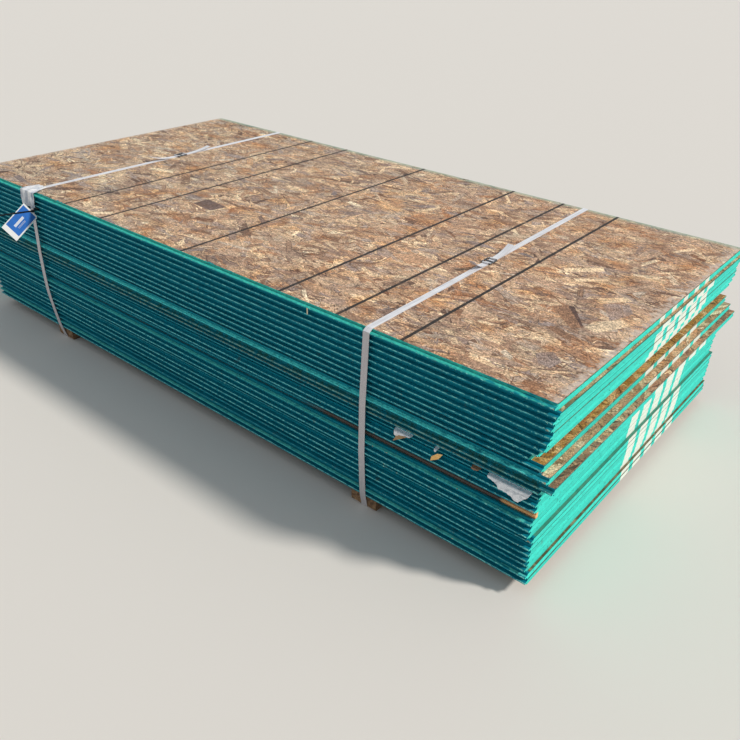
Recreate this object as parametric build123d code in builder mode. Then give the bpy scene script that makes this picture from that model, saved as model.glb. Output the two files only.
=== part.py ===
from build123d import *
import math
import os

os.makedirs("parts", exist_ok=True)

# A strapped unit of tongue-and-groove oriented strand board on two timber bearers.
# X runs along the 8 ft length, Y across the width with the tongues at -Y, Z up from the ground.

# Driving dimensions of a panel (96 in by 48 in nominal, 23/32 in thick)
panel_length = 2435.2
net_width = 1206.5
panel_thickness = 18.3
layer_gap = 0.2
paper_gap = 0.6
arris = 0.8

# Tongue and groove
tongue_length = 11.0
tongue_root = 6.9
tongue_nose = 4.9
tongue_centre = 8.6
nose_bevel = 1.0
groove_depth = 12.5
groove_clearance = 1.0
broken_tongue_length = 3.5
corner_round = 7.0

# How far each layer sits out towards +X and towards -Y, from the top layer down
end_shift = [
    0, 9, 1, 0, 1, -3, -8, -22, -41, -8, 13, 31, -1, -2,
    -4, -5, -6, -7, -8, -9, -2, -2, -2, -3, -4, -7, -1, 0,
]
edge_shift = [
    0, 0, -2, -1, -1, 0, 1, -1, -4, -5, 5, 8, 3, -5,
    3, 1, -3, 6, 6, 6, -4, 2, 0, 0, -5, -5, -3, -5,
]
layer_count = len(end_shift)
broken_tongue_layer = 17
paper_layer = 13
flake_layer = 15
pale_flake_layer = 2

# Bearers, 2 by 4 timbers laid flat across the unit
bearer_width = 89.0
bearer_height = 38.0
bearer_recess = 6.5
bearer_length = net_width - bearer_recess
bearer_edge = 2.5
bearer_foot_edge = 4.0
near_bearer_x = 707.0
far_bearer_x = -770.0

# Clearance between pieces that lie on each other, and how far a cut runs past what it cuts
fit = 0.3
overcut = 1.0

# Straps of white cord band, with wire buckles on the top
strap_width = 20.0
strap_thickness = 1.0
near_strap_x = 699.5
near_strap_skew = 1.09
far_strap_top_x = -821.0
far_strap_foot_x = -770.0
far_strap_drift = ((-806.0, 240.0), (-801.0, 400.0), (-777.0, 520.0))
strap_groove_side = 0.7
wire_diameter = 4.0
buckle_length = 46.0
buckle_width = 34.0
buckle_corner = 6.0
middle_bar_slack = 0.2
near_buckle_y = -45.0
far_buckle_y = 46.0
near_low_tail = (78.0, 32.0)
near_high_tail = (98.0, 18.0)
far_low_tail = (121.0, 21.0)
far_high_tail = (123.0, 12.0)
tail_parts = (0.0, 0.2, 0.4, 0.55, 0.7, 0.85, 1.0)
tail_curl = 2.4

# Folded plastic pad under the far strap, over the top edge where the strap turns down
pad_thickness = 1.2
pad_stand_off = 14.5
pad_inboard = 49.0
pad_drop = 52.0
pad_point = 3.0
pad_edge = (-863.0, -777.0)
pad_inboard_edge = (-866.0, -800.0)
pad_foot = (-866.0, -787.0)

# Cable tie looped round the far strap, its stiff tail standing out from the unit
tie_width = 4.8
tie_thickness = 1.2
tie_drop = 57.0
tie_slack = 0.6
tie_loop_length = 39.5
tie_loop_depth = (4.0, 37.0)
tie_corner = 2.0
tie_head = 8.0
tie_head_depth = 6.5
tie_tail_length = 150.0
tie_tail_rise = 6.0

# Plain hang tag, hung by the tie through a hole near the middle of its short edge
tag_length = 112.0
tag_width = 73.0
tag_thickness = 0.6
tag_turn = 34.0
tag_corner_cut = 7.0
tag_hole_inset = 5.5
tag_hole_clearance = 0.5

# Torn paper between two layers and flakes of wood hanging from the edge near the +X end
paper_thickness = 0.4
paper_inboard = 45.0
paper_span = (-430.0, -22.0)
splinter_thickness = 0.7
splinter_gap = 0.35

half_length = panel_length / 2
half_width = net_width / 2

# The origin lies under the middle of the whole unit, and the stack's nominal centre is set off from it
back_reach = half_width - min(edge_shift) + fit + strap_thickness
tail_angle = math.radians(tie_tail_rise)
front_reach = half_width + tie_loop_depth[1] + tie_tail_length * math.cos(tail_angle)
centre_x = -(max(end_shift) + min(end_shift)) / 2
centre_y = (front_reach - back_reach) / 2


def layer_bottom(layer):
    """Height of the underside of a layer, counted from 1 at the top."""
    below = layer_count - layer
    extra = paper_gap if layer <= paper_layer else 0
    return bearer_height + layer_gap + below * (panel_thickness + layer_gap) + extra


top_z = layer_bottom(1) + panel_thickness


def tongue_tip(layer):
    """How far the nose of a layer's tongue stands out from the nominal long side."""
    length = broken_tongue_length if layer == broken_tongue_layer else tongue_length
    return edge_shift[layer - 1] + length


def tongue_point(layer, level):
    """The nose of a layer's tongue at its upper (+1) or lower (-1) corner, in the Y-Z plane."""
    return (-half_width - tongue_tip(layer), layer_bottom(layer) + tongue_centre + level * tongue_nose / 2)


def both_sides(upper, level):
    """An outline from its upper points and the same points mirrored about a level."""
    return upper + [(y, 2 * level - z) for y, z in reversed(upper)]


# Panels
for layer in range(1, layer_count + 1):
    start_x = centre_x + end_shift[layer - 1] - half_length
    side_y = centre_y - edge_shift[layer - 1]
    tongue_face = side_y - half_width
    groove_face = side_y + half_width
    nose_y = centre_y - half_width - tongue_tip(layer)
    level = layer_bottom(layer) + tongue_centre
    tongue_outline = [
        (tongue_face + arris, level + tongue_root / 2),
        (tongue_face, level + tongue_root / 2),
        (nose_y + nose_bevel, level + tongue_nose / 2),
        (nose_y, level + tongue_nose / 2 - nose_bevel),
    ]
    groove_outline = [
        (groove_face + overcut, level + (tongue_root + groove_clearance) / 2),
        (groove_face - groove_depth, level + (tongue_nose + groove_clearance) / 2),
    ]
    with BuildPart() as panel:
        with BuildSketch(Plane.YZ.offset(start_x)) as profile:
            with Locations((side_y, layer_bottom(layer) + panel_thickness / 2)):
                Rectangle(net_width, panel_thickness)
            chamfer(profile.vertices(), arris)
            with BuildLine():
                Polyline(*both_sides(tongue_outline, level), close=True)
            make_face()
            with BuildLine():
                Polyline(*both_sides(groove_outline, level), close=True)
            make_face(mode=Mode.SUBTRACT)
        extrude(amount=panel_length)
        if layer == 1:
            knocked_corner = panel.edges().filter_by(Axis.Z).group_by(Axis.X)[-1].group_by(Axis.Y)[1]
            fillet(knocked_corner, corner_round)
    panel.part.label = f"panel_{layer:02d}"
    export_step(panel.part, f"parts/panel_{layer:02d}.step")


def turn(start, middle, end):
    """Positive where the way from start over middle to end turns left."""
    ahead = (middle[0] - start[0]) * (end[1] - start[1])
    return ahead - (middle[1] - start[1]) * (end[0] - start[0])


def taut_outline(points):
    """The corners that a band pulled tight round a set of points lies against, in order."""
    corners = []
    for ordered in (sorted(points), sorted(points, reverse=True)):
        run = []
        for point in ordered:
            while len(run) > 1 and turn(run[-2], run[-1], point) <= 0:
                run.pop()
            run.append(point)
        corners += run[:-1]
    return corners


def unit_corners():
    """Every corner of the layers and the bearer that a strap may bear on, in the Y-Z plane."""
    corners = []
    for layer in range(1, layer_count + 1):
        low = layer_bottom(layer)
        high = low + panel_thickness
        back = half_width - edge_shift[layer - 1]
        front = -half_width - edge_shift[layer - 1]
        corners += [tongue_point(layer, 1), tongue_point(layer, -1), (front + arris, high)]
        corners += [(back, low + arris), (back, high - arris), (back - arris, high)]
    groove_z = strap_thickness + fit
    for side in (-1, 1):
        corners.append((side * bearer_length / 2, bearer_foot_edge))
        corners.append((side * (bearer_length / 2 - bearer_foot_edge + groove_z), groove_z))
    return corners


def band_outline(points, thickness):
    """A closed outline of even thickness along a row of points, its corners mitred."""
    left = []
    right = []
    for index, (y, z) in enumerate(points):
        before = points[max(index - 1, 0)]
        after = points[min(index + 1, len(points) - 1)]
        angle = math.atan2(after[1] - before[1], after[0] - before[0])
        shift_y = -math.sin(angle) * thickness / 2
        shift_z = math.cos(angle) * thickness / 2
        left.append((y + shift_y, z + shift_z))
        right.append((y - shift_y, z - shift_z))
    return left + right[::-1]


def strap_solid(plane, width, buckle_y, low_tail, high_tail):
    """The strap's loop around the unit, its two hitches over the buckle's bars and its two loose ends."""
    seat = top_z + fit + strap_thickness
    bar_z = seat + fit + wire_diameter / 2
    inner_radius = wire_diameter / 2 + fit
    outer_radius = inner_radius + strap_thickness
    bar_reach = (buckle_length - wire_diameter) / 2
    with BuildPart() as strap:
        for reach, mode in ((fit + strap_thickness, Mode.ADD), (fit, Mode.SUBTRACT)):
            with BuildSketch(plane):
                with BuildLine():
                    Polyline(*taut_outline(unit_corners()), close=True)
                make_face()
                offset(amount=reach, kind=Kind.ARC)
            extrude(amount=width, mode=mode)
        for side in (-1, 1):
            bar_y = buckle_y + side * bar_reach
            with BuildSketch(plane):
                with BuildLine():
                    outer = CenterArc((bar_y, bar_z), outer_radius, 0, 180)
                    inner = CenterArc((bar_y, bar_z), inner_radius, 0, 180)
                    Polyline(outer @ 0, (bar_y + outer_radius, seat), (bar_y + inner_radius, seat), inner @ 0)
                    Polyline(outer @ 1, (bar_y - outer_radius, seat), (bar_y - inner_radius, seat), inner @ 1)
                make_face()
            extrude(amount=width)
        for side, (reach, lift) in ((-1, low_tail), (1, high_tail)):
            start = buckle_y + side * (bar_reach + inner_radius + strap_thickness / 2)
            rest = seat + strap_thickness / 4
            tail = [(start + side * reach * part, rest + lift * part**tail_curl) for part in tail_parts]
            with BuildSketch(plane):
                with BuildLine():
                    Polyline(*band_outline(tail, strap_thickness), close=True)
                make_face()
            extrude(amount=width)
    return strap.part


# Near strap, pulled a little askew across the top
skew = math.radians(near_strap_skew)
near_across = (math.cos(skew), math.sin(skew), 0)
near_along = (-math.sin(skew), math.cos(skew), 0)
near_plane = Plane(origin=(centre_x + near_strap_x, centre_y, 0), x_dir=near_along, z_dir=near_across)
near_side = near_plane.offset(-strap_width / 2)
with BuildPart() as strap_near:
    add(strap_solid(near_side, strap_width, near_buckle_y, near_low_tail, near_high_tail))
strap_near.part.label = "strap_near"
export_step(strap_near.part, "parts/strap_near.step")


def cross_plane(x):
    """A plane across the unit at a place along X, its own X axis along the width and Y axis up."""
    return Plane(origin=(centre_x + x, centre_y, 0), x_dir=(0, 1, 0), z_dir=(1, 0, 0))


def front_plane(depth, drop=0.0):
    """A plane facing -Y at a depth outside the unit's long side, its origin at a drop below the top."""
    origin = (centre_x, centre_y - half_width - depth, top_z - drop)
    return Plane(origin=origin, x_dir=(1, 0, 0), z_dir=(0, -1, 0))


# Far strap, slack, so its runs down the sides drift along the unit to the bearer
side_route = [
    (far_strap_top_x, top_z),
    *[(x, top_z - drop) for x, drop in far_strap_drift],
    (far_strap_foot_x, 0),
]
side_line = Spline(*side_route)
drift_start = far_strap_top_x - strap_width
drift_width = far_strap_foot_x - far_strap_top_x + 2 * strap_width
with BuildPart() as strap_far:
    add(strap_solid(cross_plane(drift_start), drift_width, far_buckle_y, far_low_tail, far_high_tail))
    with BuildSketch(front_plane(net_width, top_z)):
        with BuildLine():
            left = Spline(*[(x - strap_width / 2, z) for x, z in side_route])
            right = Spline(*[(x + strap_width / 2, z) for x, z in side_route])
            above = Vector(0, half_width)
            below = Vector(0, -overcut)
            Polyline(left @ 0, (left @ 0) + above, (right @ 0) + above, right @ 0)
            Polyline(left @ 1, (left @ 1) + below, (right @ 1) + below, right @ 1)
        make_face()
    extrude(amount=-3 * net_width, mode=Mode.INTERSECT)
strap_far.part.label = "strap_far"
export_step(strap_far.part, "parts/strap_far.step")


def far_strap_x(height):
    """Where the middle of the far strap lies along X at a height, as it drifts down the side."""
    samples = [side_line @ (step / 200) for step in range(201)]
    return min(samples, key=lambda point: abs(point.Y - height)).X


def bearer_solid(x, groove_plane):
    """A timber with eased edges and a shallow groove below where the strap has bitten in."""
    with BuildPart() as bearer:
        with BuildSketch(Plane.XY):
            with Locations((centre_x + x, centre_y)):
                Rectangle(bearer_width, bearer_length)
        extrude(amount=bearer_height)
        chamfer(bearer.edges().filter_by(Axis.Y), bearer_edge)
        foot_edges = bearer.faces().sort_by(Axis.Z)[0].edges().filter_by(Axis.X)
        chamfer(foot_edges, bearer_foot_edge)
        with BuildSketch(groove_plane):
            Rectangle(strap_width + 2 * strap_groove_side, bearer_length + 2 * overcut)
        extrude(amount=strap_thickness + fit, mode=Mode.SUBTRACT)
    return bearer.part


# Bearers
with BuildPart() as bearer_near:
    add(bearer_solid(near_bearer_x, Plane(origin=near_plane.origin, x_dir=near_across)))
bearer_near.part.label = "bearer_near"
export_step(bearer_near.part, "parts/bearer_near.step")

with BuildPart() as bearer_far:
    add(bearer_solid(far_bearer_x, Plane(origin=(centre_x + far_strap_foot_x, centre_y, 0))))
bearer_far.part.label = "bearer_far"
export_step(bearer_far.part, "parts/bearer_far.step")


def buckle_solid(level_plane):
    """A bent wire frame with a middle bar, drawn in the plane through the wire's middle."""
    half_long = (buckle_length - wire_diameter) / 2
    half_short = (buckle_width - wire_diameter) / 2
    with BuildPart() as buckle:
        with BuildLine(level_plane) as path:
            FilletPolyline(
                (half_short, half_long),
                (half_short, -half_long),
                (-half_short, -half_long),
                (-half_short, half_long),
                radius=buckle_corner,
                close=True,
            )
        frame_wire = path.wire()
        with BuildSketch(Plane(origin=frame_wire @ 0, z_dir=frame_wire % 0)):
            Circle(wire_diameter / 2)
        sweep(path=frame_wire)
        bar_start = level_plane.from_local_coords((-half_short, 0, 0))
        with BuildSketch(Plane(origin=bar_start, x_dir=level_plane.y_dir, z_dir=level_plane.x_dir)):
            Circle(wire_diameter / 2 - middle_bar_slack)
        extrude(amount=2 * half_short)
    return buckle.part


# Buckles
wire_z = top_z + 2 * fit + strap_thickness + wire_diameter / 2
near_spot = near_plane.from_local_coords((near_buckle_y, wire_z, 0))
with BuildPart() as buckle_near:
    add(buckle_solid(Plane(origin=near_spot, x_dir=near_across)))
buckle_near.part.label = "buckle_near"
export_step(buckle_near.part, "parts/buckle_near.step")

far_spot = (centre_x + far_strap_top_x, centre_y + far_buckle_y, wire_z)
with BuildPart() as buckle_far:
    add(buckle_solid(Plane(origin=far_spot)))
buckle_far.part.label = "buckle_far"
export_step(buckle_far.part, "parts/buckle_far.step")

# Folded pad over the edge, lying on the strap's outside
pad_under = strap_thickness + 2 * fit
pad_front_y = centre_y - half_width - pad_stand_off - pad_thickness
pad_back_y = centre_y - half_width + pad_inboard
with BuildPart() as edge_pad:
    with BuildSketch(Plane.XY.offset(top_z + pad_under)):
        with BuildLine():
            Polyline(
                (centre_x + pad_edge[0], pad_front_y),
                (centre_x + pad_edge[1], pad_front_y),
                (centre_x + pad_inboard_edge[1], pad_back_y),
                (centre_x + pad_inboard_edge[0], pad_back_y),
                close=True,
            )
        make_face()
    extrude(amount=pad_thickness)
    with BuildSketch(front_plane(pad_stand_off)):
        with BuildLine():
            Polyline(
                (pad_edge[0], pad_under),
                (pad_foot[0], pad_point - pad_drop),
                ((pad_foot[0] + pad_foot[1]) / 2, -pad_drop),
                (pad_foot[1], pad_point - pad_drop),
                (pad_edge[1], pad_under),
                close=True,
            )
        make_face()
    extrude(amount=pad_thickness)
    fold = edge_pad.edges().filter_by(Axis.X).group_by(Axis.Z)[-1].sort_by(Axis.Y)[0]
    fillet(fold, pad_thickness)
edge_pad.part.label = "edge_pad"
export_step(edge_pad.part, "parts/edge_pad.step")

# Cable tie: a level loop round the strap and through the tag, its tail rising a little outwards
loop_left = far_strap_x(top_z - tie_drop) - strap_width / 2 - tie_slack
loop_right = loop_left + tie_loop_length
loop_depth = tie_loop_depth[1] - tie_loop_depth[0]
loop_middle = (centre_x + (loop_left + loop_right) / 2, centre_y - half_width - sum(tie_loop_depth) / 2)
head_spot = (-half_width - tie_loop_depth[1] + tie_head, top_z - tie_drop)
with BuildPart() as tag_tie:
    with BuildSketch(Plane.XY.offset(top_z - tie_drop - tie_width / 2)):
        with Locations(loop_middle):
            RectangleRounded(tie_loop_length, loop_depth, tie_corner)
            offset(amount=tie_thickness)
            RectangleRounded(tie_loop_length, loop_depth, tie_corner, mode=Mode.SUBTRACT)
    extrude(amount=tie_width)
    with BuildSketch(cross_plane(loop_right)):
        with Locations(head_spot):
            Rectangle(tie_head, tie_head)
    extrude(amount=tie_head_depth)
    with BuildSketch(cross_plane(loop_right)):
        with Locations(head_spot):
            Rectangle(
                tie_tail_length + tie_head,
                tie_width,
                rotation=-tie_tail_rise,
                align=(Align.MAX, Align.CENTER),
            )
    extrude(amount=tie_thickness)
tag_tie.part.label = "tag_tie"
export_step(tag_tie.part, "parts/tag_tie.step")

# Hang tag, standing across the unit behind the tie's tail, the loop passing through its hole
hole_spot = Vector(-half_width - tie_loop_depth[1] - tie_thickness / 2, top_z - tie_drop)
hole_from_middle = Vector(tag_length / 2 - tag_hole_inset, 0).rotate(Axis.Z, tag_turn)
with BuildPart() as tag:
    with BuildSketch(cross_plane(loop_right - fit)):
        with Locations(hole_spot - hole_from_middle):
            outline = Rectangle(tag_length, tag_width, rotation=tag_turn)
        inner_corner = outline.vertices().sort_by(Axis.X)[-1]
        chamfer(inner_corner, tag_corner_cut)
        with Locations(hole_spot):
            Circle(tie_width / 2 + tag_hole_clearance, mode=Mode.SUBTRACT)
    extrude(amount=-tag_thickness)
tag.part.label = "tag"
export_step(tag.part, "parts/tag.step")

# Torn paper sheet caught between two layers, its flaps hanging down over the edge
paper_z = layer_bottom(paper_layer) - (paper_gap + layer_gap) / 2
paper_fall = [
    (-half_width + paper_inboard, 0),
    (-half_width, 0),
    (-half_width - 5.5, -2.5),
    (-half_width - 9.5, -8),
    (-half_width - 13.5, -16),
    (-half_width - 15.9, -24),
    (-half_width - 16.6, -58),
]
paper_flaps = [
    (paper_span[0], 2), (paper_span[0], -30), (-422, -36), (-413, -20), (-409, -5),
    (-310, -5), (-306, -17), (-297, -14), (-294, -5),
    (-192, -5), (-180, -14), (-167, -5),
    (-145, -8), (-123, -18), (-111, -44), (-95, -38), (-74, -46), (-58, -52), (-43, -42), (-27, -14),
    (paper_span[1], -6), (paper_span[1], 2),
]
with BuildPart() as torn_paper:
    with BuildSketch(cross_plane(half_length + paper_span[0])):
        with BuildLine():
            Polyline(*[(y, paper_z + z) for y, z in band_outline(paper_fall, paper_thickness)], close=True)
        make_face()
    extrude(amount=paper_span[1] - paper_span[0])
    with BuildSketch(front_plane(half_width, top_z - paper_z)):
        with BuildLine():
            Polyline(*[(half_length + x, z) for x, z in paper_flaps], close=True)
        make_face()
    extrude(amount=-net_width, mode=Mode.INTERSECT)
torn_paper.part.label = "torn_paper"
export_step(torn_paper.part, "parts/torn_paper.step")

# Flakes of wood torn loose, each hanging against a tongue
paper_drop = top_z - paper_z
brown_corners = [(-408, -38), (-396, -14), (-365, -8), (-385, -22)]
orange_corners = [(-291, -42), (-289, -28), (-272, -12), (-257, -8), (-268, -26)]
pale_corners = [(513, -8), (517, -9), (517, -25), (515, -27), (513, -24)]
splinters = {
    "splinter_brown": (flake_layer, half_length, paper_drop, brown_corners),
    "splinter_orange": (flake_layer, half_length, paper_drop, orange_corners),
    "splinter_pale": (pale_flake_layer, 0, 0, pale_corners),
}
for name, (rest_layer, x, drop, corners) in splinters.items():
    with BuildPart() as splinter:
        with BuildSketch(front_plane(tongue_tip(rest_layer) + splinter_gap, drop)):
            with BuildLine():
                Polyline(*[(x + along, rise) for along, rise in corners], close=True)
            make_face()
        extrude(amount=splinter_thickness)
    splinter.part.label = name
    export_step(splinter.part, f"parts/{name}.step")
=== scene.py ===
"""Dresses a strapped stack of OSB subfloor panels and sets the stage that it is shown on."""

import math
import random
from functools import partial

import bpy
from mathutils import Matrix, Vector, noise


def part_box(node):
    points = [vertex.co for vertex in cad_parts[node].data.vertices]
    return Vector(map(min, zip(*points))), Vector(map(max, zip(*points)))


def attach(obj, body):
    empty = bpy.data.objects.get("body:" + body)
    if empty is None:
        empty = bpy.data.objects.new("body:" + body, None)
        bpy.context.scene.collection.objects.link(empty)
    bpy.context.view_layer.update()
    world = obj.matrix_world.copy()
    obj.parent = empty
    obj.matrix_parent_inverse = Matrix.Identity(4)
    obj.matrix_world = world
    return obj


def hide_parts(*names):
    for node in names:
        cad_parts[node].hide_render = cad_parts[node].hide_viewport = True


bl_info = {
    "name": "Strapped OSB Panel Stack",
    "version": (1, 0, 0),
    "blender": (4, 5, 0),
    "location": "3D View > Sidebar > Panel Stack",
    "description": "Finishes and stage for a strapped stack of tongue-and-groove OSB panels",
    "category": "Object",
}

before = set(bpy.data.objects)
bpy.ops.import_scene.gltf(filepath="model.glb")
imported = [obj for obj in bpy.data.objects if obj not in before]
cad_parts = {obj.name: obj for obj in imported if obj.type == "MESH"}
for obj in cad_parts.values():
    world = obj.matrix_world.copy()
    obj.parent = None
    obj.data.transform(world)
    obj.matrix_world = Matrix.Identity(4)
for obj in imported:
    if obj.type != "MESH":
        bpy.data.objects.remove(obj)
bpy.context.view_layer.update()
MM = 0.001

# The panels, from the top one down
PANELS = sorted(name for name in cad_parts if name.startswith("panel_"))
TOP_LOW, TOP_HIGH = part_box("panel_01")
TONGUE = 11 * MM
BROKEN_TONGUE = 3.5 * MM
TONGUE_CENTRE = 8.6 * MM
FRONT_Y = TOP_LOW.y + TONGUE
STACK_MIDDLE = Vector(((TOP_LOW.x + TOP_HIGH.x) / 2, (FRONT_Y + TOP_HIGH.y) / 2, TOP_HIGH.z))
HALF_THICKNESS = (TOP_HIGH.z - TOP_LOW.z) / 2

# Guide lines printed across the top panel, at every 16 in and at 24 in from either end, set a little off
INCH = 25.4 * MM
LINE_SLIP = 3.5 * MM
LINE_WIDTH = 10 * MM
GUIDE_LINES = [TOP_HIGH.x - LINE_SLIP - reach * INCH for reach in (16, 24, 32, 48, 64, 72, 80)]

# White bars on the +X end: where the first begins, in millimetres from the stack's middle, for the layers
# from the top down
BAR_PERIOD = 83 * MM
BAR_COUNT = 5
BAR_STARTS = (
    -54, -50, -57, -57, -57, -68, -68, -68, -60, -43, -61, -51, -62, -66,
    -70, -74, -74, -74, -74, -74, -68, -68, -68, -68, -68, -68, -68, -68,
)

# How far in from its nose each tongue's upper side gets a painted highlight where it would catch the light,
# in millimetres, for the layers that differ, and the tint of the widest of these painted lines
LIT_DEPTH = {1: 12, 11: 10.5, 12: 2.2, 13: 3.5, 14: 0, 17: 0, 18: 9, 21: 0, 25: 0, 26: 0, 27: 8}
LIT_TINTS = {1: "46ccba", 11: "66fff6", 18: "58d2c6", 27: "60d8cc"}
USUAL_LIT_DEPTH = 1.3

# How open the joint above a layer shows on the ends, for the layers that differ
OPEN_SEAMS = {
    3: 0.6, 4: 1.4, 5: 0.7, 6: 2.6, 8: 1.6, 9: 0.7, 15: 1.6,
    17: 0.8, 19: 1.4, 21: 1.5, 23: 0.8, 26: 2.4, 28: 1.6,
}
USUAL_SEAM = 1.2

# Which ledges are clean, and towards what colour the others are darkened and how much of them at least
CLEAN_LEDGES = (1, 10, 11, 12)
USUAL_LEDGE_DARKENING = ("56573a", 0.6)
LEDGE_DARKENING = {21: ("3a8a78", 0.9)}

# Layers with something of their own: dust, chalky sealer, and a tongue broken off and bare near the +X end
DUSTY_LAYER = 12
CHALKY_LAYER = 13
BROKEN_LAYER = 17
BARE_LENGTH = 0.74

# Flakes on the top face that stand out, each an outline in millimetres from the origin, by their kind
MARKED_FLAKES = {
    "straw": [
        [(887, 153), (970, 240), (987, 214), (904, 132)],
        [(1103, -153), (1107, -106), (1160, -50), (1187, -67), (1170, -103), (1140, -159)],
        [(1050, 28), (1108, 89), (1131, 73), (1074, 8)],
        [(942, 107), (1014, 167), (1032, 161), (960, 92)],
    ],
    "pale": [[(1015, -401), (1017, -383), (1050, -401), (1053, -421)]],
    "brown": [
        [(986, -95), (1014, -62), (1103, -153), (1085, -182), (1038, -145)],
        [(1026, -212), (1053, -199), (1126, -220), (1143, -228), (1092, -240)],
        [(1120, -471), (1162, -465), (1179, -482), (1158, -501), (1123, -492)],
    ],
    "orange": [[(473, -103), (504, -55), (610, -59), (536, -129)]],
    "dark": [[(1016, -66), (1030, -60), (1100, -150), (1095, -154)]],
    "plum": [[(-312, -211), (-309, -148), (-201, -160), (-214, -221)]],
    "grey": [
        [(1078, 5), (1112, 37), (1154, -31), (1135, -74)],
        [(1120, 30), (1132, 49), (1163, 4), (1154, -31)],
        [(1079, -353), (1106, -316), (1145, -349), (1138, -391), (1108, -389)],
    ],
}
# Where each kind lies in the colour stops, and its hue, where high is red and low is grey
MARKED_TONES = {
    "straw": (0.96, 0.5), "pale": (0.99, 0.1), "brown": (0.07, 0.84),
    "orange": (0.5, 0.9), "dark": (0.0, 0.5), "grey": (0.33, 0.04), "plum": (0.0, 0.2),
}

# Height that the random flakes keep under, heights of the marked ones in millimetres, and how many slivers
# lie on a square metre of the top and flakes on one of a ledge
LAY_TOP = 0.27 * MM
MARKED_HEIGHT = 0.28
MARKED_STEP = 0.004
SLIVER_DENSITY = 7000
# Least, most and usual length and width of the flakes, and of the slivers between them, in millimetres
FLAKE_SIZES = ((45, 150, 85), (8, 40, 18))
SLIVER_SIZES = ((12, 60, 22), (1.4, 7.5, 2.8))
LEDGE_DENSITY = 9000
RIM = 1.2 * MM

# Where the lamp stands, and the camera, from the middle of the top face, as solved from the photo
LAMP_PLACE = (6.5, 2.6, 6.0)
CAMERA_OFFSET = (1.7623, -1.9051, 0.8595)
CAMERA_ANGLES = (59.689, -1.61, 39.695)
CAMERA_LENS = 37.82
FLOOR_SIZE = 60
BACKDROP_STRENGTH = 0.85


def hex_colour(code, alpha=1.0):
    """A colour written as sRGB hex, turned to linear."""
    values = [int(code[i:i + 2], 16) / 255 for i in (0, 2, 4)]
    return (*(v / 12.92 if v <= 0.04045 else ((v + 0.055) / 1.055) ** 2.4 for v in values), alpha)


def add_node(tree, kind, inputs=(), **settings):
    """Adds a node with its settings and its inputs, in order or by key, and returns its outputs."""
    node = tree.nodes.new("ShaderNode" + kind)
    for name, value in settings.items():
        setattr(node, name, value)
    for key, value in inputs.items() if isinstance(inputs, dict) else enumerate(inputs):
        if isinstance(value, bpy.types.NodeSocket):
            tree.links.new(value, node.inputs[key])
        else:
            node.inputs[key].default_value = value
    return node.outputs


def set_stops(outputs, stops):
    """Gives the colour ramp behind these outputs its stops, as place and hex colour."""
    ramp = outputs[0].node.color_ramp
    for _ in range(len(stops) - 2):
        ramp.elements.new(0.5)
    for element, (place, code) in zip(ramp.elements, stops):
        element.position = place
        element.color = hex_colour(code)


def new_material(name):
    """An empty material, and what adds a node to it."""
    material = bpy.data.materials.new(name)
    material.use_nodes = True
    material.node_tree.nodes.clear()
    return material, partial(add_node, material.node_tree)


def finish_material(add, relief=None, **inputs):
    """Closes a material with a Principled shader. Relief is a height, how strong it is and how deep."""
    if relief:
        height, strength, depth = relief
        inputs["Normal"] = add("Bump", {"Strength": strength, "Distance": depth, "Height": height})[0]
    shader = add("BsdfPrincipled", {key.replace("_", " "): v for key, v in inputs.items()})
    add("OutputMaterial", {"Surface": shader[0]})


def dress(node_name, material):
    """Gives a CAD node its one material."""
    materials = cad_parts[node_name].data.materials
    materials.clear()
    materials.append(material)


def drawn_noise(add, place, cells, detail, shift=(0, 0, 0), turn=(0, 0, 0), **more):
    """Noise drawn out of square, with so many cells to a metre along each axis."""
    drawn = add("Mapping", {"Vector": place, "Location": shift, "Rotation": turn, "Scale": cells})[0]
    return add("TexNoise", {"Vector": drawn, "Scale": 1.0, "Detail": detail, **more})[0]


def within(add, value, low, high, soft):
    """1 where a value lies between two limits, easing to 0 over a soft margin."""
    rise = add("MapRange", (value, low - soft, low + soft))[0]
    fall = add("MapRange", (value, high + soft, high - soft))[0]
    return add("Math", (rise, fall), operation="MULTIPLY")[0]


def guide_ink(add, place):
    """How much guide-line ink lies at a place: 10 mm lines, ragged, and thin where the roller skipped."""
    across = add("SeparateXYZ", (place,))[0]
    # The lines' sides are ragged by 4 mm, and the skips are 22 mm long
    ragged = add("TexNoise", {"Vector": place, "Scale": 260.0, "Detail": 3.0})[0]
    wander = add("Math", (ragged, 3 * MM, across), operation="MULTIPLY_ADD")[0]
    wander = add("Math", (wander, -1.5 * MM))[0]
    ink = None
    for line_x in GUIDE_LINES:
        here = within(add, wander, line_x - LINE_WIDTH / 2, line_x + LINE_WIDTH / 2, 0.8 * MM)
        if ink is not None:
            here = add("Math", (ink, here), operation="MAXIMUM")[0]
        ink = here
    patchy = add("TexNoise", {"Vector": place, "Scale": 45.0, "Detail": 4.0})[0]
    patchy = add("MapRange", (patchy, 0.3, 0.5, 0.84, 1.0))[0]
    return add("Math", (ink, patchy), operation="MULTIPLY")[0]


# Tones of the strands from dark to pale: on the top, and on the dusty, the darker and the clean ledges
STRAND_STOPS = (
    (0.0, "5f473c"), (0.07, "8c6e58"), (0.25, "ae8e76"), (0.47, "bd9f85"),
    (0.7, "c9ab8c"), (0.86, "d9bb98"), (0.95, "e6caa5"), (1.0, "f4e0be"),
)
DUSTY_STOPS = (
    (0.0, "735238"), (0.15, "8d694a"), (0.4, "a5815c"), (0.65, "b99571"), (0.85, "caaa86"), (1.0, "decaa8"),
)
DARKER_LEDGE_STOPS = (
    (0.0, "5f4434"), (0.15, "7d5b45"), (0.4, "966f55"), (0.65, "a88062"), (0.85, "bd9674"), (1.0, "d6b993"),
)
CLEAN_STOPS = (
    (0.0, "84602f"), (0.15, "98702f"), (0.4, "ab8240"), (0.65, "b99250"), (0.85, "c8a468"), (1.0, "dcc08e"),
)


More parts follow.
